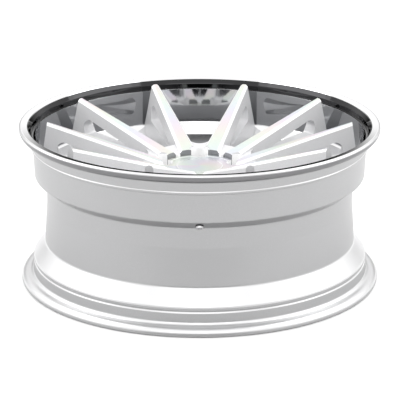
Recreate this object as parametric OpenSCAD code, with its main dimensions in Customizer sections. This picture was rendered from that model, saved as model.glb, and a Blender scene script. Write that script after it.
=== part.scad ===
// Two-piece forged racing wheel: a one-piece rim barrel with a step lip, and a forged
// ten-spoke centre bolted into it from behind. It lies face up: +Z points out of the
// outboard face, and the origin is the middle of the hub mounting face.

/* [Rim] */
// Nominal bead seat diameter
seat_d = 508; // [430:1:620]
// Width between the tyre faces of the two flanges
rim_w = 215.9; // [180:0.1:260]
// Offset of the mounting face from the middle of the rim, towards the outboard side
rim_offset = 25; // [10:1:40]
// Height of the flanges above the bead seats
flange_h = 17.5; // [16:0.5:20]
// Curl radius under the flanges
curl_r = 9.5; // [8:0.5:11]
// Drop well depth below the bead seats
well_drop = 22.8; // [18:0.2:28]
// Wall of the barrel in the drop well
wall_t = 5.2; // [4:0.2:7]
// Depth of the step shoulder below the lip
lip_depth = 70.5; // [60:0.5:80]
// Height of the step shoulder
shoulder_h = 14; // [10:0.5:18]
// Width of the step shoulder
shoulder_w = 18.5; // [14:0.5:22]
// Wall of the barrel under the step shoulder
shoulder_t = 7.5; // [6:0.5:9]

/* [Spokes] */
// Number of spokes, two for each lug hole
spokes_n = 10; // [10:10:10]
// Distance of the spoke tips in from the bead seat
tip_in = 24.7; // [20:0.1:32]
// Distance of the spoke tips below the lip
tip_drop = 0.9; // [0:0.1:6]
// Width of the flat top at the tips
tip_w = 5; // [4:0.5:8]
// Width of the flat top at the hub
root_w = 20; // [16:0.5:24]
// Size of the bevels along the top
bevel = 3.5; // [2:0.1:5]
// Draft of the spoke sides, sideways for each unit down
side_draft = 0.14; // [0.05:0.01:0.2]
// Draft of the outer end faces
end_draft = 0.148; // [0.05:0.002:0.2]
// Depth of the upper beam over the window
beam_h = 19; // [15:0.5:24]
// Width of the post outside the window
post_w = 20; // [15:0.5:25]
// Height of the window at its outer end
window_h = 25.6; // [20:0.2:30]
// Depth of the lower chord under the window
chord_h = 30; // [22:0.5:36]

/* [Hub] */
// Bolt circle of the lug holes
pcd = 112; // [108:1:120]
// Number of lug holes
lugs_n = 5; // [5:5:5]
// Diameter of the lug bolt holes
lug_hole_d = 15; // [13:0.5:16]
// Diameter of the lug pockets
pocket_d = 26; // [24:0.5:28]
// Diameter of the centre bore that the hub ring is pressed in
bore_d = 72.6; // [66:0.1:74]
// Diameter of the car's hub spigot
spigot_d = 66.6; // [57:0.1:67]
// Thickness of the hub at the bottom of the recess
pad_t = 27.5; // [24:0.5:32]
// Depth of the recess round the centre cap
recess_h = 8; // [6:0.5:10]
// Radius of the recess round the centre cap
recess_r = 57; // [56:0.5:60]
// Radius where the gaps between the spokes end
web_r = 83; // [80:0.5:88]
// Diameter of the centre cap
cap_d = 70.8; // [66:0.2:74]

/* [Assembly bolts] */
// Number of bolts that join the centre to the barrel
bolts_n = 30; // [20:5:35]
// Diameter of these bolts
bolt_d = 7; // [6:1:8]
// Thickness of the centre's bolting ring
ring_t = 10; // [8:0.5:12]
// Thickness of the barrel's bolting flange
seat_flange_t = 6; // [5:0.5:8]
// Width of the bolting ring
ring_w = 19; // [18:0.5:22]

/* [Valve] */
// Wall of the rubber sleeve round the stem
sleeve_t = 0.4; // [0.4:0.1:1.5]
// Length of the valve stem above the shoulder
stem_l = 32; // [30:1:40]
// Diameter of the valve thread
stem_d = 7.7; // [7:0.1:8]

/* [Fits] */
// Gap between pieces that are fixed together
fit_gap = 0.05; // [0.02:0.01:0.1]
// Gap round the centre where it drops into the barrel
seat_gap = 0.1; // [0.05:0.05:0.3]
// Gap round pieces that slide or turn
run_gap = 0.1; // [0.08:0.01:0.2]

/* [Hidden] */
$fn = 64;
eps = 0.5;
far = 400;

// Heights and radii of the rim
seat_r = seat_d / 2;
face_top = rim_w / 2 - rim_offset;
face_low = -rim_w / 2 - rim_offset;
flange_r = seat_r + flange_h;
edge_r = 3.4;
lip_w = 12.9;
lip_slope = 7;
z_top = face_top + curl_r + edge_r + 0.1;
z_low = face_low - curl_r - edge_r + 0.3;
lip_corner = z_top + edge_r * (tan(lip_slope) + 1 / cos(lip_slope) - 1);
well_r = seat_r - well_drop;
well_in = well_r - wall_t;
shoulder_top = z_top - lip_depth;
shoulder_low = shoulder_top - shoulder_h;
shoulder_in = well_in + shoulder_w;
shoulder_deg = atan2(shoulder_h, shoulder_w);
band_r = seat_r - 4.9;
heel = 0.3;
heel_r = 6;
seat_w = 16;
seat_w_low = 17;
// humps behind the bead seats, each corner as [depth below the seat, distance from the flange, round]
hump = [[0.2, 18, 1.5], [0.6, 20.5, 1], [3.2, 21.5, 1]];
hump_low = [[2, 27, 5], [1.1, 24.5, 1], [1.1, 21.8, 1], [2.4, 19.5, 1]];
flare = 3.8;
flare_h = 49.5;
flare_in_h = 47;
well_h = 31;
clamp_r = seat_r - 7;
clamp_low = 2;
clamp_w = 19;
foot_w = 12.5;
// recess behind the lip's edge, as [distance inside the bead seat, height over the flange face, round]
lip_back = [[4.5, -3.2, 0.8], [1.4, -3, 0.6], [0.6, 4, 4]];
// the outer slope runs level with the inner one, shoulder_t below it
slope_z = shoulder_top - shoulder_t / cos(shoulder_deg) + (band_r - shoulder_in) * tan(shoulder_deg);
slope_low = slope_z - (band_r - well_r) * tan(shoulder_deg);
seat_taper = tan(5);

// Bolting ring
ring_r = well_in - seat_gap;
ring_in = well_in - ring_w;
ring_top = shoulder_low - 17;
ring_low = ring_top - ring_t;
bolt_circle = well_in - 9.75;
washer_t = 1.2;
bolt_head_r = 6;
bolt_head_h = 6.5;
bolt_grip = 8;
hole_gap = 0.3;

// Spokes
tip_r = seat_r - tip_in;
tip_z = z_top - tip_drop;
root_z = pad_t + recess_h;
fall = (tip_z - root_z) / (tip_r - recess_r);
widen = (root_w - tip_w) / (tip_r - recess_r);
spoke_step = 360 / spokes_n;
lug_step = 360 / lugs_n;
web_drop = 5.5;
chord_low = 4;
post_depth = 38;
post_lean = 3;
window_r = 10;
window_low_r = 5;
window_in_r = 3;
window_gap = 28;

// Hub
spoke_half = (tip_w + widen * (tip_r - web_r - 15)) / 2 + bevel + side_draft * 4;
hub_r = web_r + 14;
pad_r = 74;
web_low = 14.5;
split_r = hub_r + 1;
pocket_land = 2.5;
web_in_z = root_z - web_drop;
web_fall = 0.25;
nose_r = 4.4;
rim_r = 53.5;
dish_r = 50;
dish_h = 0.8;
cap_r = cap_d / 2;
cap_seat_h = 9.5;
cap_lip_h = 4;
cap_rim_w = 1.8;
cap_inlay_t = 2;
cap_floor_t = 2;
cap_ledge = 4.4;
lip_bore_r = cap_r - cap_ledge;
leg_t = 1.8;
legs_n = 6;
leg_gap = 10;
leg_end = 10.5;
clip_wire = 0.8;
seal_wire = 1.1;
hub_ring_h = 10;
insert_r = 11;
insert_h = 15;
insert_foot = 3;
insert_foot_r = 9.4;
insert_edge = 0.5;
seat_half = 30;
relief_r = 11;
relief_h = 12;
corner_r = 5;
foot_round = 4;

// Valve, along its own axis: zero on the shoulder, towards the wheel's middle
valve_r = (shoulder_in + well_in) / 2;
valve_z = (shoulder_top + shoulder_low) / 2;
spot_h = 0.3;
valve_out = spot_h - shoulder_t;
grommet_t = 2.2;
stem_r = stem_d / 2 + 0.15;
valve_hole_r = stem_r + sleeve_t + 2 * fit_gap;
grommet_r = valve_hole_r + 1.1;
foot_t = 2.5;
foot_r = grommet_r;
nut_h = 6;
nut_r = 6.9;
nut_washer_t = 1.2;
nut_washer_r = 8.2;
core_r = 2.6;
core_bore = 16;
core_low = stem_l - 12;
core_high = stem_l - 1;
core_lip = 1;
air_r = 1.4;
pin_r = 0.45;
pin_high = stem_l - 0.3;
collar_r = 1.2;
collar_low = stem_l - 4;
collar_t = 0.8;
poppet_r = 1.9;
poppet_t = 1.2;
poppet_seal_t = 0.8;
spring_r = 0.9;
spring_wire = 0.18;
spring_turns = 6;
valve_cap_r = 5.2;
valve_cap_top = stem_l + 3.6;
thread_engaged = 5.4;
cap_seal_t = 1;
cap_seal_gap = 0.05;

// ---- outlines ----

function unit(v) = v / norm(v);

// points of a round of radius r at b, between the lines b-a and b-c
function round_at(a, b, c, r, n = 7) =
    let (u = unit(a - b), v = unit(c - b), h = acos(u * v) / 2, m = b + unit(u + v) * r / sin(h),
         s = b + u * r / tan(h) - m, e = b + v * r / tan(h) - m,
         a0 = atan2(s[1], s[0]), d = atan2(s[0] * e[1] - s[1] * e[0], s * e))
    [for (i = [0:n]) m + r * [cos(a0 + d * i / n), sin(a0 + d * i / n)]];

// closed outline through corners given as [x, y, round], with a round of 0 left sharp
function outline(p) =
    let (q = [for (k = p) [k[0], k[1]]], n = len(p))
    [for (i = [0:n - 1])
        each p[i][2] == 0 ? [q[i]] : round_at(q[(i + n - 1) % n], q[i], q[(i + 1) % n], p[i][2])];

// tangent points of the line that goes outside circles a and b, each [x, y, radius]
function tangent(a, b) =
    let (ca = [a[0], a[1]], cb = [b[0], b[1]], w = cb - ca,
         t = atan2(w[1], w[0]) - acos((a[2] - b[2]) / norm(w)))
    [ca + a[2] * [cos(t), sin(t)], cb + b[2] * [cos(t), sin(t)]];

// outline of a band round circles listed anticlockwise, corners stay true arcs
module band_round(c) {
    n = len(c);
    for (k = c) translate([k[0], k[1]]) circle(k[2]);
    polygon([for (i = [0:n - 1]) each tangent(c[i], c[(i + 1) % n])]);
}

module ring_of(n, r, first = 0) {
    for (i = [0:n - 1]) rotate(first + i * 360 / n) translate([0, r, 0]) children();
}

module tube(ro, ri, h) {
    difference() {
        cylinder(r = ro, h = h);
        translate([0, 0, -eps]) cylinder(r = ri, h = h + 2 * eps);
    }
}

module at_valve() {
    translate([0, -valve_r, valve_z]) rotate([-shoulder_deg, 0, 0]) children();
}

// ---- rim barrel ----

barrel_outer = concat(
    [[flange_r - lip_w, lip_corner - lip_w * tan(lip_slope), 1.5],
     [flange_r, lip_corner, edge_r],
     [flange_r, face_top, curl_r],
     [seat_r + heel, face_top, heel_r],
     [seat_r + heel - seat_w * seat_taper, face_top - seat_w, 1.5]],
    [for (k = hump) [seat_r - k[0], face_top - k[1], k[2]]],
    [[band_r, slope_z, 4.5],
     [well_r, slope_low, 5],
     [well_r, slope_low - well_h, 60],
     [well_r + flare, face_low + flare_h, 8]],
    [for (k = hump_low) [seat_r - k[0], face_low + k[1], k[2]]],
    [[seat_r + heel - seat_w_low * seat_taper, face_low + seat_w_low, 1],
     [seat_r + heel, face_low, heel_r],
     [flange_r, face_low, curl_r],
     [flange_r, z_low, 3]]);

barrel_inner = concat(
    [[flange_r - foot_w, z_low, 2],
     [clamp_r, face_low + clamp_low, 10],
     [clamp_r, face_low + clamp_low + clamp_w, 6],
     [well_r + flare - wall_t, face_low + flare_in_h, 8],
     [well_in, slope_low - well_h, 40],
     [well_in, ring_low - seat_flange_t, 2],
     [ring_in + 1, ring_low - seat_flange_t, 1],
     [ring_in + 1, ring_low, 0],
     [well_in, ring_low, 0],
     [well_in, shoulder_low, 6],
     [shoulder_in, shoulder_top, 3]],
    [for (k = lip_back) [seat_r - k[0], face_top + k[1], k[2]]]);

module rim_barrel() {
    color([0.80, 0.80, 0.81]) difference() {
        rotate_extrude($fn = 180) polygon(outline(concat(barrel_outer, barrel_inner)));
        ring_of(bolts_n, bolt_circle, 180 / bolts_n) translate([0, 0, ring_low - seat_flange_t - eps])
            cylinder(d = bolt_d + 2 * hole_gap, h = seat_flange_t + 2 * eps);
        at_valve() {
            translate([0, 0, -2 * shoulder_t]) cylinder(r = valve_hole_r, h = 3 * shoulder_t);
            translate([0, 0, -spot_h]) cylinder(r = nut_washer_r + 1, h = shoulder_t);
            translate([0, 0, valve_out - shoulder_t]) cylinder(r = grommet_r + 1, h = shoulder_t);
        }
    }
}

// ---- centre ----

function spoke_top(x) = tip_z - (tip_r - x) * fall;

// cuts away all that lies outside the sloping plane y = p + q x + s z, on both sides
module side_cut(p, q, s) {
    n = sqrt(1 + q * q + s * s);
    for (side = [0, 1]) mirror([0, side, 0])
        translate([tip_r / 2, p + q * tip_r / 2, 0]) rotate([-asin(s / n), 0, atan(q)])
            translate([-far, 0, -far]) cube([2 * far, far, 2 * far]);
}

// the window: a round at each corner, held off the spoke's top, its outer face and the hub's web;
// a depth square to the sloping top, times slant, is the depth straight down
window_x = tip_r + end_draft * post_depth - post_w;
window_in_x = web_r + window_gap;
slant = 1 / cos(atan(fall));
window_top = [window_x - window_r, spoke_top(window_x - window_r) - (beam_h + window_r) * slant, window_r];
window_low_z = window_top[1] + window_r + window_low_r - window_h;
window_low = [window_x - window_low_r - post_lean, window_low_z, window_low_r];
window_in = [window_in_x, spoke_top(window_in_x) - (beam_h + 5) * slant, window_in_r];

module spoke_side() {
    chord_z = window_low[1] - window_low[2] - chord_h;
    difference() {
        polygon([[recess_r - 8, chord_low], [web_r, chord_low], [ring_in - 8, chord_z],
                 [ring_in, ring_top - eps], [flange_r, ring_top - eps], [flange_r, shoulder_top - 20],
                 [tip_r + end_draft * (tip_z - shoulder_top + 20), shoulder_top - 20],
                 [tip_r, tip_z], [recess_r - 8, spoke_top(recess_r - 8)]]);
        band_round([window_in, window_low, window_top]);
    }
}

// one spoke along +X, standing in the plane y = 0
module spoke() {
    half = tip_w / 2;
    deep = half + bevel;
    difference() {
        rotate([90, 0, 0]) translate([0, 0, -30]) linear_extrude(60) spoke_side();
        // flat top, narrowing outwards, with a bevel at 45 degrees on each side
        side_cut(half + widen / 2 * tip_r + spoke_top(0), -widen / 2 + fall, -1);
        // drafted sides below the bevels
        side_cut(deep + widen / 2 * tip_r + side_draft * (spoke_top(0) - bevel),
                 -widen / 2 + side_draft * fall, -side_draft);
    }
}

// fillets where a spoke's foot spreads onto the shoulder
module foot_fillets() {
    deep = tip_z - bevel - shoulder_low;
    half = (tip_w + widen * (tip_r - shoulder_in)) / 2 + bevel + side_draft * deep;
    long = (tip_r + end_draft * (tip_z - shoulder_top) - well_in) / cos(shoulder_deg) - 0.5;
    for (side = [0, 1]) mirror([0, side, 0])
        translate([well_in, 0, shoulder_low]) rotate([0, -shoulder_deg, 0]) rotate([90, 0, 90])
            linear_extrude(long) difference() {
                translate([0, -2]) square([half + foot_round, foot_round + 2]);
                translate([half + foot_round, foot_round]) circle(foot_round);
            }
}

function web_top(x) = web_in_z + (x - rim_r) * web_fall;

module hub_body() {
    rotate_extrude() polygon([[0, 0], [pad_r, 0], [web_r, web_low], [hub_r, web_low + 1],
                              [hub_r, web_top(hub_r)], [rim_r, web_in_z], [0, web_in_z]]);
}

// open ends of the gaps between spokes, along +X: one full round, one with small corners
module round_gap() {
    r = (web_r * sin(spoke_step / 2) - spoke_half) / (1 - sin(spoke_step / 2));
    translate([web_r + r, 0, -eps]) cylinder(r = r, h = z_top);
}

module square_gap() {
    near = web_r + corner_r;
    wide = near + 30;
    function side(x) = (x * sin(spoke_step / 2) - spoke_half - corner_r) / cos(spoke_step / 2);
    translate([0, 0, -eps]) linear_extrude(z_top)
        band_round([[near, side(near), corner_r], [near, -side(near), corner_r],
                    [wide, -side(wide), corner_r], [wide, side(wide), corner_r]]);
}

// the room that the barrel takes round the centre
module barrel_room() {
    lip_room = shoulder_in - seat_gap;
    rotate_extrude() polygon([[ring_r, ring_low - 20], [ring_r, shoulder_low + seat_gap],
                              [lip_room, shoulder_top + seat_gap], [lip_room, z_top + 20],
                              [far, z_top + 20], [far, ring_low - 20]]);
}

module hub_holes() {
    lug_r = pcd / 2;
    ring_of(lugs_n, lug_r) {
        translate([0, 0, insert_h]) cylinder(d = pocket_d, h = z_top);
        translate([0, 0, web_top(lug_r + pocket_d / 2) + 1])
            cylinder(r = pocket_d / 2 + pocket_land, h = z_top);
        translate([0, 0, insert_foot]) cylinder(r = insert_r + fit_gap, h = insert_h);
        translate([0, 0, -eps]) cylinder(r = insert_foot_r + fit_gap, h = insert_h);
    }
    ring_of(lugs_n, lug_r, lug_step / 2) translate([0, 0, -eps]) cylinder(r = relief_r, h = relief_h + eps);
    translate([0, 0, -eps]) cylinder(d = bore_d, h = pad_t - cap_seat_h - cap_lip_h + eps);
    translate([0, 0, -eps]) cylinder(r = lip_bore_r, h = z_top);
    translate([0, 0, pad_t - cap_seat_h]) cylinder(r = cap_r + run_gap, h = z_top);
}

// the hub with the roots of all spokes
module centre_hub() {
    color([0.78, 0.78, 0.79]) difference() {
        union() {
            difference() {
                union() {
                    difference() {
                        hub_body();
                        for (i = [0:lugs_n - 1]) {
                            rotate(90 + i * lug_step) round_gap();
                            rotate(90 + (i + 0.5) * lug_step) square_gap();
                        }
                    }
                    for (i = [0:spokes_n - 1]) rotate(90 + (i + 0.5) * spoke_step) spoke();
                }
                translate([0, 0, pad_t - dish_h]) cylinder(r = recess_r, h = z_top);
                translate([0, 0, -far]) tube(2 * far, split_r, 2 * far + z_top);
            }
            // noses of the webs, between the lug pockets
            intersection() {
                hub_body();
                for (i = [0:lugs_n - 1]) rotate(90 + (i + 0.5) * lug_step) linear_extrude(z_top)
                    band_round([[rim_r + nose_r, 0, nose_r], [recess_r + 6, 0, nose_r]]);
            }
            translate([0, 0, pad_t - 2 * dish_h]) tube(rim_r, dish_r, 2 * dish_h);
        }
        hub_holes();
    }
}

// the spokes from the hub outwards, one solid each
module centre_spokes() {
    color([0.78, 0.78, 0.79]) for (i = [0:spokes_n - 1]) rotate(90 + (i + 0.5) * spoke_step) difference() {
        union() {
            spoke();
            foot_fillets();
        }
        translate([0, 0, -far]) cylinder(r = split_r, h = 2 * far);
        translate([0, 0, ring_low]) tube(far, ring_in, ring_t);
        barrel_room();
    }
}

// the flat ring under the spokes' feet, with the threaded holes
module centre_ring() {
    color([0.78, 0.78, 0.79]) difference() {
        translate([0, 0, ring_low]) tube(ring_r, ring_in, ring_t);
        ring_of(bolts_n, bolt_circle, 180 / bolts_n) translate([0, 0, ring_low - eps])
            cylinder(r = bolt_d / 2 + fit_gap, h = bolt_grip + 2 * eps);
    }
}

module assembly_bolts() {
    under = ring_low - seat_flange_t - washer_t;
    color([0.45, 0.45, 0.47]) ring_of(bolts_n, bolt_circle, 180 / bolts_n) difference() {
        union() {
            translate([0, 0, under - bolt_head_h]) cylinder(r = bolt_head_r, h = bolt_head_h);
            translate([0, 0, under - eps]) cylinder(d = bolt_d, h = washer_t + seat_flange_t + bolt_grip + eps);
        }
        translate([0, 0, under - bolt_head_h - eps])
            cylinder(r = bolt_d / 2, h = bolt_head_h / 2 + eps, $fn = 6);
    }
}

module bolt_washers() {
    color([0.6, 0.6, 0.62]) ring_of(bolts_n, bolt_circle, 180 / bolts_n)
        translate([0, 0, ring_low - seat_flange_t - washer_t])
            tube(bolt_head_r + 0.8, bolt_d / 2 + hole_gap, washer_t);
}

module lug_seat_inserts() {
    cone = insert_r - insert_edge - lug_hole_d / 2;
    color([0.55, 0.55, 0.57]) ring_of(lugs_n, pcd / 2) rotate_extrude()
        polygon([[lug_hole_d / 2, 0], [insert_foot_r, 0], [insert_foot_r, insert_foot], [insert_r, insert_foot],
                 [insert_r, insert_h], [insert_r - insert_edge, insert_h],
                 [lug_hole_d / 2, insert_h - cone / tan(seat_half)]]);
}

module hub_ring() {
    color([0.25, 0.25, 0.27]) tube(bore_d / 2 - fit_gap, spigot_d / 2, hub_ring_h);
}

// ---- centre cap ----

module cap_disc() {
    color([0.82, 0.82, 0.83]) translate([0, 0, pad_t - cap_inlay_t])
        cylinder(r = cap_r - cap_rim_w - fit_gap, h = cap_inlay_t);
}

module cap_body() {
    low = pad_t - cap_seat_h;
    skirt_r = lip_bore_r - run_gap;
    color([0.7, 0.7, 0.72]) difference() {
        union() {
            translate([0, 0, low]) cylinder(r = cap_r, h = cap_seat_h);
            translate([0, 0, leg_end]) cylinder(r = skirt_r, h = low - leg_end + eps);
        }
        translate([0, 0, pad_t - cap_inlay_t]) cylinder(r = cap_r - cap_rim_w, h = z_top);
        translate([0, 0, leg_end - eps])
            cylinder(r = skirt_r - leg_t, h = pad_t - cap_inlay_t - cap_floor_t - leg_end + eps);
        for (i = [0:legs_n - 1]) rotate(i * 360 / legs_n)
            translate([0, -leg_gap / 2, leg_end - eps]) cube([cap_r, leg_gap, low - leg_end + eps]);
        translate([0, 0, pad_t - cap_seat_h / 2]) rotate_extrude()
            translate([cap_r - seal_wire + run_gap / 2, 0]) circle(seal_wire + fit_gap);
    }
}

module cap_spring_ring() {
    color([0.5, 0.5, 0.52]) translate([0, 0, leg_end + 2 * clip_wire]) rotate_extrude()
        translate([lip_bore_r - run_gap - leg_t - clip_wire - fit_gap, 0]) circle(clip_wire);
}

module cap_seal() {
    color([0.1, 0.1, 0.1]) translate([0, 0, pad_t - cap_seat_h / 2]) rotate_extrude()
        translate([cap_r - seal_wire + run_gap / 2, 0]) circle(seal_wire);
}

// ---- valve ----

module valve_body() {
    low = valve_out - grommet_t - foot_t;
    color([0.75, 0.75, 0.76]) at_valve() difference() {
        rotate_extrude() polygon([[0, low], [foot_r - 0.6, low], [foot_r, low + 0.6], [foot_r, low + foot_t],
                                  [stem_r, low + foot_t], [stem_r, core_low - 2], [stem_d / 2, core_low - 1],
                                  [stem_d / 2, stem_l], [0, stem_l]]);
        translate([0, 0, low - eps]) cylinder(r = air_r, h = stem_l - low);
        translate([0, 0, stem_l - core_bore]) cylinder(r = core_r, h = core_bore + eps);
    }
}

module valve_seal() {
    sleeve_r = valve_hole_r - fit_gap;
    color([0.08, 0.08, 0.08]) at_valve() rotate_extrude()
        polygon([[stem_r + fit_gap, valve_out - grommet_t], [grommet_r, valve_out - grommet_t],
                 [grommet_r, valve_out], [sleeve_r, valve_out], [sleeve_r, -2 * spot_h],
                 [stem_r + fit_gap, -2 * spot_h]]);
}

module valve_washer() {
    color([0.7, 0.7, 0.72]) at_valve() translate([0, 0, -spot_h])
        tube(nut_washer_r, stem_r + 4 * fit_gap, nut_washer_t);
}

module valve_nut() {
    color([0.75, 0.75, 0.77]) at_valve() translate([0, 0, nut_washer_t - spot_h]) difference() {
        cylinder(r = nut_r, h = nut_h, $fn = 6);
        translate([0, 0, -eps]) cylinder(r = stem_r + fit_gap, h = nut_h + 2 * eps);
    }
}

module valve_core_barrel() {
    color([0.78, 0.62, 0.3]) at_valve() difference() {
        translate([0, 0, core_low]) cylinder(r = core_r - fit_gap, h = core_high - core_low);
        translate([0, 0, core_low - eps]) cylinder(r = pin_r + run_gap, h = core_high);
        translate([0, 0, core_low + core_lip]) cylinder(r = collar_r + run_gap, h = core_high);
    }
}

module valve_core_pin() {
    low = core_low - poppet_seal_t - poppet_t;
    color([0.7, 0.7, 0.7]) at_valve() {
        translate([0, 0, low]) cylinder(r = pin_r, h = pin_high - low);
        translate([0, 0, low]) cylinder(r = poppet_r, h = poppet_t);
        translate([0, 0, collar_low]) cylinder(r = collar_r, h = collar_t);
    }
}

module valve_core_seal() {
    color([0.1, 0.1, 0.1]) at_valve() translate([0, 0, core_low - poppet_seal_t])
        tube(poppet_r, pin_r + fit_gap, poppet_seal_t);
}

// a coil of round wire standing on its lower end
module coil(r, wire, turns, h, around = 16, sides = 6) {
    steps = turns * around;
    rise = h - 2 * wire;
    function at(i, k) =
        let (a = 360 * i / around, b = 360 * k / sides, q = r + wire * cos(b))
        [q * cos(a), q * sin(a), wire + rise * i / steps + wire * sin(b)];
    polyhedron(
        points = [for (i = [0:steps], k = [0:sides - 1]) at(i, k)],
        faces = concat([[for (k = [0:sides - 1]) k]],
                       [for (i = [0:steps - 1], k = [0:sides - 1])
                           [i * sides + k, (i + 1) * sides + k,
                            (i + 1) * sides + (k + 1) % sides, i * sides + (k + 1) % sides]],
                       [[for (k = [sides - 1:-1:0]) steps * sides + k]]));
}

module valve_core_spring() {
    low = core_low + core_lip;
    color([0.65, 0.65, 0.67]) at_valve() translate([0, 0, low])
        coil(spring_r, spring_wire, spring_turns, collar_low - low);
}

module valve_cap() {
    low = stem_l - thread_engaged;
    inner_r = stem_d / 2 + run_gap;
    inner_top = stem_l + cap_seal_t + 2 * cap_seal_gap;
    color([0.72, 0.72, 0.74]) at_valve() rotate_extrude()
        polygon([[inner_r, low], [valve_cap_r, low], [valve_cap_r, valve_cap_top - 1],
                 [valve_cap_r - 1, valve_cap_top], [0, valve_cap_top], [0, inner_top], [inner_r, inner_top]]);
}

module valve_cap_seal() {
    color([0.1, 0.1, 0.1]) at_valve() translate([0, 0, stem_l + cap_seal_gap])
        cylinder(r = stem_d / 2, h = cap_seal_t);
}

rim_barrel();
centre_hub();
centre_spokes();
centre_ring();
assembly_bolts();
bolt_washers();
lug_seat_inserts();
hub_ring();
cap_disc();
cap_body();
cap_spring_ring();
cap_seal();
valve_body();
valve_seal();
valve_washer();
valve_nut();
valve_core_barrel();
valve_core_pin();
valve_core_spring();
valve_core_seal();
valve_cap();
valve_cap_seal();
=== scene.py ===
import bpy, bmesh, math
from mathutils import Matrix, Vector


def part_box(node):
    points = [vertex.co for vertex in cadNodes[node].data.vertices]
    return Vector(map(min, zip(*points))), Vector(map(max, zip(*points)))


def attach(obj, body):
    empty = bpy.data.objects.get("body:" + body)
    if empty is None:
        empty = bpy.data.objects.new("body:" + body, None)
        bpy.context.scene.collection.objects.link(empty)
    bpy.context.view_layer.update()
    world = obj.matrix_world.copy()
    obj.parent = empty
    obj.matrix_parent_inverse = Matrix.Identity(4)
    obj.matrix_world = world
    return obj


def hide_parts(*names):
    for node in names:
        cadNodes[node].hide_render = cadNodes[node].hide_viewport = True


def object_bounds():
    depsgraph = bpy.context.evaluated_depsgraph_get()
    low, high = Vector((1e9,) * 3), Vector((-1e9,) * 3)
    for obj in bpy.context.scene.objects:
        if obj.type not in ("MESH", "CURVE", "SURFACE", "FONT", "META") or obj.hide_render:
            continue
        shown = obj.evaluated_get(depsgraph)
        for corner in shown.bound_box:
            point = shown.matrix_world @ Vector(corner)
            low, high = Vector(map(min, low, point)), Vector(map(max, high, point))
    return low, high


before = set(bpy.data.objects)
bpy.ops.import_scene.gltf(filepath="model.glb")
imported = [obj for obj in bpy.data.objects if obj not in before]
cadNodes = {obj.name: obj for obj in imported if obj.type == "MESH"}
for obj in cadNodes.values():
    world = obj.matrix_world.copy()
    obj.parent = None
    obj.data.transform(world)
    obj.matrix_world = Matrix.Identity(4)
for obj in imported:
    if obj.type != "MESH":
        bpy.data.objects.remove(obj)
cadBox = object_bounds()

mm = 0.001


class Sock:
    # wraps one output socket, or a plain number, so that shader maths reads as sums
    def __init__(self, tree, out):
        self.tree = tree
        self.out = out

    def node(self, kind, settings=None, **inputs):
        n = self.tree.nodes.new(kind)
        for key, value in (settings or {}).items():
            setattr(n, key, value)
        for key, value in inputs.items():
            name = int(key[1:]) if key[0] == "i" and key[1:].isdigit() else key.replace("_", " ")
            target = n.inputs[name]
            if isinstance(value, Sock):
                self.tree.links.new(value.out, target)
            else:
                target.default_value = value
        return n

    def sock(self, kind, settings=None, pick=0, **inputs):
        return Sock(self.tree, self.node(kind, settings, **inputs).outputs[pick])

    def maths(self, operation, *values):
        return self.sock("ShaderNodeMath", {"operation": operation}, **{f"i{k}": v for k, v in enumerate(values)})

    def __add__(self, other): return self.maths("ADD", self, other)
    def __radd__(self, other): return self.maths("ADD", other, self)
    def __sub__(self, other): return self.maths("SUBTRACT", self, other)
    def __rsub__(self, other): return self.maths("SUBTRACT", other, self)
    def __mul__(self, other): return self.maths("MULTIPLY", self, other)
    def __rmul__(self, other): return self.maths("MULTIPLY", other, self)
    def __abs__(self): return self.maths("ABSOLUTE", self)
    def __lt__(self, other): return self.maths("LESS_THAN", self, other)
    def __gt__(self, other): return self.maths("GREATER_THAN", self, other)


def finish(name, **fixed):
    # a new material: its first socket to build from, and its shader
    m = bpy.data.materials.new(name)
    m.use_nodes = True
    tree = m.node_tree
    tree.nodes.clear()
    start = Sock(tree, None)
    shader = start.node("ShaderNodeBsdfPrincipled", None, **fixed)
    output = start.node("ShaderNodeOutputMaterial")
    tree.links.new(shader.outputs[0], output.inputs[0])
    return m, start, shader


def plug(shader, **values):
    for name, value in values.items():
        value.tree.links.new(value.out, shader.inputs[name.replace("_", " ")])


def place(start):
    # where a point is on the piece: its place, radius, angle and height, in millimetres
    spot = start.sock("ShaderNodeTexCoord", pick=3)
    parts = start.node("ShaderNodeSeparateXYZ", i0=spot)
    x, y, z = (Sock(start.tree, parts.outputs[k]) * 1000 for k in range(3))
    radius = y.maths("SQRT", x * x + y * y)
    angle = y.maths("ARCTAN2", y, x)
    return spot, radius, angle, z


def facing(start):
    # how much a face looks up, from -1 to 1
    parts = start.node("ShaderNodeSeparateXYZ", i0=start.sock("ShaderNodeNewGeometry", pick=1))
    return Sock(start.tree, parts.outputs[2])


def near(value, middle, reach):
    return abs(value - middle) < reach


def noise(start, spot, scale, detail=2.0):
    return start.sock("ShaderNodeTexNoise", None, Vector=spot, Scale=scale, Detail=detail)


def mixed(mask, a, b):
    # b where the mask is 1, a where it is 0; each a number, a colour or a socket
    n = mask.node("ShaderNodeMix", {"data_type": "RGBA"}, i0=mask, i6=a, i7=b)
    return Sock(mask.tree, n.outputs[2])


def bump(start, height, depth, strength=1.0):
    return start.sock("ShaderNodeBump", None, Height=height, Distance=depth, Strength=strength)


view = {"distance": 3.3912, "raise": 18.141, "aim": -0.02777, "side": 0.00058, "lens": 200.74}
light = {
    "skyHigh": 1.06, "skyFrom": 0.13, "skyTo": 0.29,  # dark below the first height, bright above the second
    "lowFront": 0.02, "lowSides": 1.0, "sidesFrom": 0.35, "sidesTo": 0.75,
}
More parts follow.
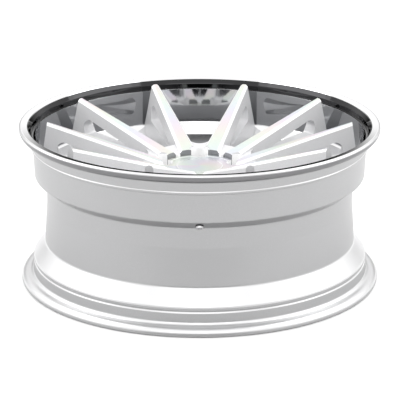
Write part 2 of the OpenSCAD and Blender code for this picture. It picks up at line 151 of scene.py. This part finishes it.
# each box's place, size and power, and the point that it faces
softBoxes = {
    "leftBox": ((-2.4, -0.3, 1.5), (2.4, 2.0), 9, (0, 0, 0)),
    "rightBox": ((2.4, -0.3, 1.5), (2.4, 2.0), 9, (0, 0, 0)),
    "frontBox": ((0, -2.4, 1.9), (2.4, 0.9), 10, (0, 0, 0)),
    "leftLow": ((-1.2, 0.2, 0.9), (0.9, 1.4), 6, (-0.8, 0.1, -0.15)),
    "rightLow": ((1.2, 0.2, 0.9), (0.9, 1.4), 6, (0.8, 0.1, -0.15)),
}
ground = {"size": 12, "colour": (0.97, 0.97, 0.97, 1), "rough": 0.9}


def setCamera():
    data = bpy.data.cameras.new("viewCamera")
    data.sensor_width = 36
    data.lens = view["lens"]
    data.clip_end = 60
    cam = bpy.data.objects.new("viewCamera", data)
    bpy.context.collection.objects.link(cam)
    up = math.radians(view["raise"])
    height = view["aim"] + view["distance"] * math.sin(up)
    cam.location = (view["side"], -view["distance"] * math.cos(up), height)
    cam.rotation_euler = (math.radians(90) - up, 0, 0)
    bpy.context.scene.camera = cam


def softBox(name, place, size, power, target):
    data = bpy.data.lights.new(name, "AREA")
    data.shape = "RECTANGLE"
    data.size, data.size_y = size
    data.energy = power
    lamp = bpy.data.objects.new(name, data)
    bpy.context.collection.objects.link(lamp)
    lamp.location = place
    lamp.rotation_euler = (Vector(target) - Vector(place)).to_track_quat("-Z", "Y").to_euler()


def eased(value, start, end, low, high):
    # low below start, high above end, and a smooth rise between them
    smooth = {"interpolation_type": "SMOOTHSTEP"}
    return value.sock("ShaderNodeMapRange", smooth, i0=value, i1=start, i2=end, i3=low, i4=high)


def setSky():
    # a studio that is dark round the horizon and bright overhead
    world = bpy.data.worlds.new("studio")
    bpy.context.scene.world = world
    world.use_nodes = True
    start = Sock(world.node_tree, None)
    parts = start.node("ShaderNodeSeparateXYZ", i0=start.sock("ShaderNodeTexCoord"))
    across, upward = (Sock(start.tree, parts.outputs[k]) for k in (0, 2))
    low = eased(abs(across), light["sidesFrom"], light["sidesTo"], light["lowFront"], light["lowSides"])
    glow = eased(upward, light["skyFrom"], light["skyTo"], low, light["skyHigh"])
    start.tree.links.new(glow.out, start.tree.nodes["Background"].inputs[1])
    start.tree.nodes["Background"].inputs[0].default_value = (1, 1, 1, 1)


def setLight():
    for name, box in softBoxes.items():
        softBox(name, *box)
    bpy.context.scene.view_settings.view_transform = "Standard"


def setFloor():
    bm = bmesh.new()
    bmesh.ops.create_grid(bm, x_segments=1, y_segments=1, size=ground["size"])
    bmesh.ops.translate(bm, verts=bm.verts, vec=(0, 0, cadBox[0][2]))
    mesh = bpy.data.meshes.new("floor")
    bm.to_mesh(mesh)
    bm.free()
    floor = bpy.data.objects.new("floor", mesh)
    bpy.context.collection.objects.link(floor)
    material, _, _ = finish("paleFloor", Base_Color=ground["colour"], Roughness=ground["rough"])
    mesh.materials.append(material)


rimLow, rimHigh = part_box("rim_barrel")
flangeR = rimHigh[0] / mm
lipZ = rimHigh[2] / mm
footZ = rimLow[2] / mm
rim = {
    "flange": 17.5, "curl": 9.5, "edge": 3.4, "lowEdge": 3.1, "curlGap": 0.1,
    "lipWidth": 12.9, "lipSlope": math.radians(7),
    "wellDrop": 22.8, "wellHeight": 31, "wall": 5.2, "band": 4.9, "flare": 3.8, "flareHigh": 49.5, "flareIn": 47,
    "lipDepth": 70.5, "shoulder": 14, "shoulderWidth": 18.5, "shoulderWall": 7.5,
    "ringWidth": 19, "ringTop": 17, "ringThick": 10, "ringFlange": 6,
    "heel": 0.3, "seatWidth": 16, "lowSeatWidth": 17, "seatTaper": math.radians(5),
    "foot": 12.5, "clampDepth": 7, "clampLow": 2, "clampWidth": 19,
    "turns": 384, "round": 6,
}
# humps behind the bead seats: depth below the seat, distance from the flange, round
humps = ((0.2, 18, 1.5), (0.6, 20.5, 1), (3.2, 21.5, 1))
lowHumps = ((2, 27, 5), (1.1, 24.5, 1), (1.1, 21.8, 1), (2.4, 19.5, 1))
lipBack = ((4.5, 3.2, 0.8), (1.4, 3, 0.6), (0.6, -4, 4))


def barrelCorners():
    seat = flangeR - rim["flange"]
    heel = seat + rim["heel"]
    faceTop = lipZ - rim["curl"] - rim["edge"] - rim["curlGap"]
    faceLow = footZ + rim["curl"] + rim["lowEdge"]
    well = seat - rim["wellDrop"]
    wellIn = well - rim["wall"]
    clamp = seat - rim["clampDepth"]
    clampZ = faceLow + rim["clampLow"]
    stepTop = lipZ - rim["lipDepth"]
    stepLow = stepTop - rim["shoulder"]
    stepIn = wellIn + rim["shoulderWidth"]
    slope = rim["shoulder"] / (stepIn - wellIn)
    band = seat - rim["band"]
    slopeZ = stepTop - rim["shoulderWall"] * math.hypot(1, slope) + (band - stepIn) * slope
    slopeLow = slopeZ - (band - well) * slope
    wellLow = slopeLow - rim["wellHeight"]
    ringLow = stepLow - rim["ringTop"] - rim["ringThick"]
    ringFoot = ringLow - rim["ringFlange"]
    ringIn = wellIn - rim["ringWidth"] + 1
    taper = math.tan(rim["seatTaper"])
    lean = math.tan(rim["lipSlope"])
    lipCorner = lipZ + rim["edge"] * (lean + 1 / math.cos(rim["lipSlope"]) - 1)
    outer = [
        (flangeR - rim["lipWidth"], lipCorner - rim["lipWidth"] * lean, 1.5), (flangeR, lipCorner, rim["edge"]),
        (flangeR, faceTop, rim["curl"]), (heel, faceTop, 6),
        (heel - rim["seatWidth"] * taper, faceTop - rim["seatWidth"], 1.5),
        *((seat - depth, faceTop - away, r) for depth, away, r in humps),
        (band, slopeZ, 4.5), (well, slopeLow, 5), (well, wellLow, 60),
        (well + rim["flare"], faceLow + rim["flareHigh"], 8),
        *((seat - depth, faceLow + away, r) for depth, away, r in lowHumps),
        (heel - rim["lowSeatWidth"] * taper, faceLow + rim["lowSeatWidth"], 1), (heel, faceLow, 6),
        (flangeR, faceLow, rim["curl"]), (flangeR, footZ, 3)]
    inner = [
        (flangeR - rim["foot"], footZ, 2), (clamp, clampZ, 10), (clamp, clampZ + rim["clampWidth"], 6),
        (well + rim["flare"] - rim["wall"], faceLow + rim["flareIn"], 8), (wellIn, wellLow, 40),
        (wellIn, ringFoot, 2), (ringIn, ringFoot, 1), (ringIn, ringLow, 0.3), (wellIn, ringLow, 0.3),
        (wellIn, stepLow, 6), (stepIn, stepTop, 3),
        *((seat - depth, faceTop - away, r) for depth, away, r in lipBack)]
    return outer + inner


def lathe(name, corners, turns, segments):
    # corners are (radius, height, round) in mm, and each round becomes an arc
    bm = bmesh.new()
    points = [Vector((r, 0, z)) for r, z, _ in corners]
    verts = [bm.verts.new(p * mm) for p in points]
    for a, b in zip(verts, verts[1:] + verts[:1]):
        bm.edges.new((a, b))
    for i, (vert, corner) in enumerate(zip(verts, corners)):
        if corner[2]:
            before = (points[i - 1] - points[i]).normalized()
            after = (points[(i + 1) % len(points)] - points[i]).normalized()
            reach = corner[2] / math.tan(before.angle(after) / 2)
            bmesh.ops.bevel(bm, geom=[vert], offset=reach * mm, offset_type="OFFSET", segments=segments,
                            profile=0.5, affect="VERTICES", material=-1)
    bmesh.ops.spin(bm, geom=bm.verts[:] + bm.edges[:], cent=(0, 0, 0), axis=(0, 0, 1), dvec=(0, 0, 0),
                   angle=math.tau, steps=turns, use_merge=True)
    bmesh.ops.remove_doubles(bm, verts=bm.verts, dist=1e-6)
    bmesh.ops.recalc_face_normals(bm, faces=bm.faces)
    mesh = bpy.data.meshes.new(name)
    bm.to_mesh(mesh)
    bm.free()
    mesh.shade_smooth()
    piece = bpy.data.objects.new(name, mesh)
    bpy.context.collection.objects.link(piece)
    piece.modifiers.new("weights", "WEIGHTED_NORMAL").keep_sharp = True
    return piece


# the polish colours: top is a painted highlight on faces that look up, and edge is a painted dark reflection
polish = {
    "wall": (0.38, 0.385, 0.395, 1), "top": (0.95, 0.95, 0.955, 1), "edge": (0.05, 0.05, 0.052, 1),
    "rough": 0.035, "scratch": 0.03, "topFacing": 0.4, "edgeMiddle": 9.6, "edgeReach": 7,  # below the lip's top
}
# the shade colour is painted shade under the flange's curl, and the crest colour a painted highlight on slopes
# that look up
satin = {
    "colour": (0.40, 0.40, 0.405, 1), "flake": (0.47, 0.47, 0.475, 1), "flakeFrom": 0.6,
    "shade": (0.20, 0.20, 0.205, 1), "crestHighlight": (0.80, 0.80, 0.805, 1), "crestHighlightFrom": 0.12, "crestHighlightTo": 0.45,
    "rough": 0.34,
}


def rings(start, radius, scale):
    # turned finish: what varies with the radius alone
    line = start.sock("ShaderNodeCombineXYZ", i0=radius)
    return noise(start, line, scale, 3)


def mirrorPolishAndPaintedLight():
    # the lip's wall is a dark polish; its upward faces, the top and the step's shoulder, get a painted highlight,
    # and a band below its top edge gets a painted dark reflection
    m, start, shader = finish("lipPolishAndPaintedLight", Metallic=1)
    _, radius, _, height = place(start)
    cut = rings(start, radius + height, 1.6)
    bright = facing(start) > polish["topFacing"]
    inside = radius < flangeR - rim["lipWidth"] - 0.3
    # painted dark reflection in a band below the lip's top
    paintedDarkBand = near(height, lipZ - polish["edgeMiddle"], polish["edgeReach"]) * inside
    plug(shader,
         # painted highlight on the faces that look up
         Base_Color=mixed(paintedDarkBand, mixed(bright, polish["wall"], polish["top"]), polish["edge"]),
         Roughness=cut * cut * polish["scratch"] + polish["rough"],
         Normal=bump(start, cut, 0.00001, 0.25))
    return m


def satinBarrelAndPaintedLight():
    # painted shade under the flange's curl, and a painted highlight where a slope looks up
    m, start, shader = finish("barrelSatinAndPaintedLight", Metallic=0.95)
    spot, _, _, height = place(start)
    flake = noise(start, spot, 1500, 1)
    cloud = noise(start, spot, 9)
    turned = rings(start, height, 2.2)
    # painted shade under the flange's curl
    curl = near(height, lipZ - rim["edge"] - rim["curl"] / 2, rim["curl"] / 2)
    # painted highlight on slopes that look up
    crestHighlight = eased(facing(start), satin["crestHighlightFrom"], satin["crestHighlightTo"], 0, 1)
    speckled = mixed((flake > satin["flakeFrom"]) * cloud, satin["colour"], satin["flake"])
    paint = mixed(crestHighlight, speckled, satin["crestHighlight"])
    plug(shader,
         Base_Color=mixed(curl, paint, satin["shade"]),
         Roughness=flake * 0.05 + turned * 0.05 + satin["rough"] - 0.05,
         Normal=bump(start, flake + turned, 0.00002, 0.2))
    return m


def makeBarrel():
    piece = lathe("rimBarrel", barrelCorners(), rim["turns"], rim["round"])
    mesh = piece.data
    mesh.materials.append(satinBarrelAndPaintedLight())
    mesh.materials.append(mirrorPolishAndPaintedLight())
    # the polish covers what looks inward above the step, and the lip's top as far as the flange's edge
    stepLow = (lipZ - rim["lipDepth"] - rim["shoulder"] - 1) * mm
    topLow = (lipZ - rim["edge"] - 2) * mm
    edgeStart = (flangeR - rim["edge"] + 0.2) * mm
    for face in mesh.polygons:
        c = face.center
        radial = Vector((c.x, c.y, 0)).normalized()
        inward = face.normal.dot(radial) < 0.05
        lipTop = face.normal.z > 0.2 and c.z > topLow and math.hypot(c.x, c.y) < edgeStart
        if c.z > stepLow and inward or lipTop:
            face.material_index = 1
    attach(piece, "wheel")
    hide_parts("rim_barrel")
    return piece


# the bevel and pocket colours are painted highlights, and the wall colour is painted shade on the machined recess
# wall
centre = {
    "padTop": 27.5, "recessDepth": 8, "recessR": 57, "tipIn": 24.7, "tipDrop": 0.9, "bevel": 3.5,
    "pocketR": 56, "pocketReach": 13.5, "pocketLow": 15.5,
    "paint": (0.74, 0.74, 0.75, 1), "flake": (0.82, 0.82, 0.83, 1), "flakeFrom": 0.58,
    "wallShadeColour": (0.30, 0.30, 0.31, 1), "bevelHighlight": (1, 1, 1, 1), "pocketHighlight": (1, 1, 1, 1),
    "bright": 0.77, "tint": 0.04, "floorTone": 0.90, "perMm": 0.05, "perRadian": 1.5, "shifts": (0, 2.1, 4.2),
}


def machinedColour(start, radius, angle, tone):
    # cut faces split the light into faint bands of colour
    turn = radius * centre["perMm"] + angle * centre["perRadian"]
    waves = [turn.maths("SINE", turn + shift) for shift in centre["shifts"]]
    bands = [(wave * centre["tint"] + centre["bright"]) * tone for wave in waves]
    return start.sock("ShaderNodeCombineColor", Red=bands[0], Green=bands[1], Blue=bands[2])


def centreFinishAndPaintedLight():
    # satin paint, with machined spoke tops and recess floor, a painted highlight on the bevels and pocket walls,
    # and painted shade on the machined recess wall
    m, start, shader = finish("centreFinishAndPaintedLight", IOR=1.5)
    spot, radius, angle, height = place(start)
    up = facing(start)
    rootZ = centre["padTop"] + centre["recessDepth"]
    tipR = flangeR - rim["flange"] - centre["tipIn"]
    rise = (lipZ - centre["tipDrop"] - rootZ) / (tipR - centre["recessR"])
    below = (radius - centre["recessR"]) * rise + rootZ - height
    spokeFace = near(below, 0, 1.6) * (up > 0.9)
    # painted highlight on the bevels
    bevel = near(below, centre["bevel"] / 2, centre["bevel"]) * near(up, 0.68, 0.12)
    recessFloor = (up > 0.98) * (radius < centre["recessR"] + 0.5) * near(height, centre["padTop"], 1.2)
    cutFace = spokeFace.maths("MAXIMUM", spokeFace, recessFloor)
    steep = near(up, 0, 0.3)
    # painted shade on the machined recess wall
    recessWall = near(radius, centre["recessR"], 0.5) * steep
    inPockets = near(radius, centre["pocketR"], centre["pocketReach"]) * (height > centre["pocketLow"])
    # painted highlight on the pocket walls
    pocketWall = inPockets * steep * (height < rootZ)
    flake = noise(start, spot, 1800, 1)
    cut = rings(start, radius, 3)
    paint = mixed(flake > centre["flakeFrom"], centre["paint"], centre["flake"])
    tone = 1 - recessFloor * (1 - centre["floorTone"])
    colour = mixed(cutFace, paint, machinedColour(start, radius, angle, tone))
    colour = mixed(bevel, mixed(pocketWall, colour, centre["pocketHighlight"]), centre["bevelHighlight"])
    plug(shader,
         Base_Color=mixed(recessWall, colour, centre["wallShadeColour"]),
         Metallic=cutFace * 0.35 + recessWall * 0.6 + 0.3 - (1 - recessWall) * pocketWall * 0.3,
         Roughness=0.4 - cutFace * 0.1 + flake * 0.04 + cut * cutFace * 0.08,
         Normal=bump(start, flake * 0.6 + cut * cutFace, 0.00002, 0.2))
    return m


def turnedMetal(name, tone, rough):
    # bare turned or plated metal, with fine grain and a little blotching
    m, start, shader = finish(name, Metallic=1)
    spot, *_ = place(start)
    blotch = noise(start, spot, 120, 3)
    fine = noise(start, spot, 1200, 2)
    plug(shader,
         Base_Color=mixed(blotch, (tone * 0.92,) * 3 + (1,), (tone, tone, tone * 1.01, 1)),
         Roughness=blotch * 0.08 + fine * 0.06 + rough - 0.07,
         Normal=bump(start, fine, 0.00002, 0.25))
    return m


def capFace():
    m, start, shader = finish("capFace", Metallic=0.75)
    _, radius, angle, _ = place(start)
    cut = rings(start, radius, 4)
    plug(shader,
         Base_Color=machinedColour(start, radius, angle, centre["floorTone"]),
         Roughness=cut * 0.08 + 0.26,
         Normal=bump(start, cut, 0.00002, 0.25))
    return m


def rubber():
    m, start, shader = finish("blackRubber", IOR=1.45)
    spot, *_ = place(start)
    grain = noise(start, spot, 900, 3)
    plug(shader,
         Base_Color=mixed(grain, (0.012, 0.012, 0.013, 1), (0.03, 0.03, 0.031, 1)),
         Roughness=grain * 0.2 + 0.55,
         Normal=bump(start, grain, 0.00004, 0.3))
    return m


def brass():
    m, start, shader = finish("coreBrass", Metallic=1)
    spot, *_ = place(start)
    blotch = noise(start, spot, 400, 3)
    plug(shader,
         Base_Color=mixed(blotch, (0.62, 0.44, 0.18, 1), (0.8, 0.62, 0.32, 1)),
         Roughness=blotch * 0.15 + 0.2)
    return m


def dress(material, *nodes):
    for node in nodes:
        mesh = cadNodes[node].data
        mesh.materials.clear()
        mesh.materials.append(material)


def dressNodes():
    dress(centreFinishAndPaintedLight(), "centre_hub", "centre_spokes", "centre_ring")
    dress(turnedMetal("capRing", 0.95, 0.2), "cap_body")
    dress(capFace(), "cap_disc")
    dress(turnedMetal("turnedAluminium", 0.78, 0.28), "valve_body", "valve_washer", "valve_nut", "valve_cap")
    dress(turnedMetal("anodisedRing", 0.30, 0.35), "hub_ring")
    dress(turnedMetal("platedSteel", 0.55, 0.36), "assembly_bolts", "bolt_washers", "lug_seat_inserts")
    dress(turnedMetal("springSteel", 0.45, 0.3), "cap_spring_ring", "valve_core_spring")
    dress(rubber(), "cap_seal", "valve_seal", "valve_core_seal", "valve_cap_seal")
    dress(brass(), "valve_core_barrel", "valve_core_pin")


setCamera()
setSky()
setLight()
setFloor()
print("camera, light and floor are set")
makeBarrel()
print("barrel made")
dressNodes()
print("nodes dressed")
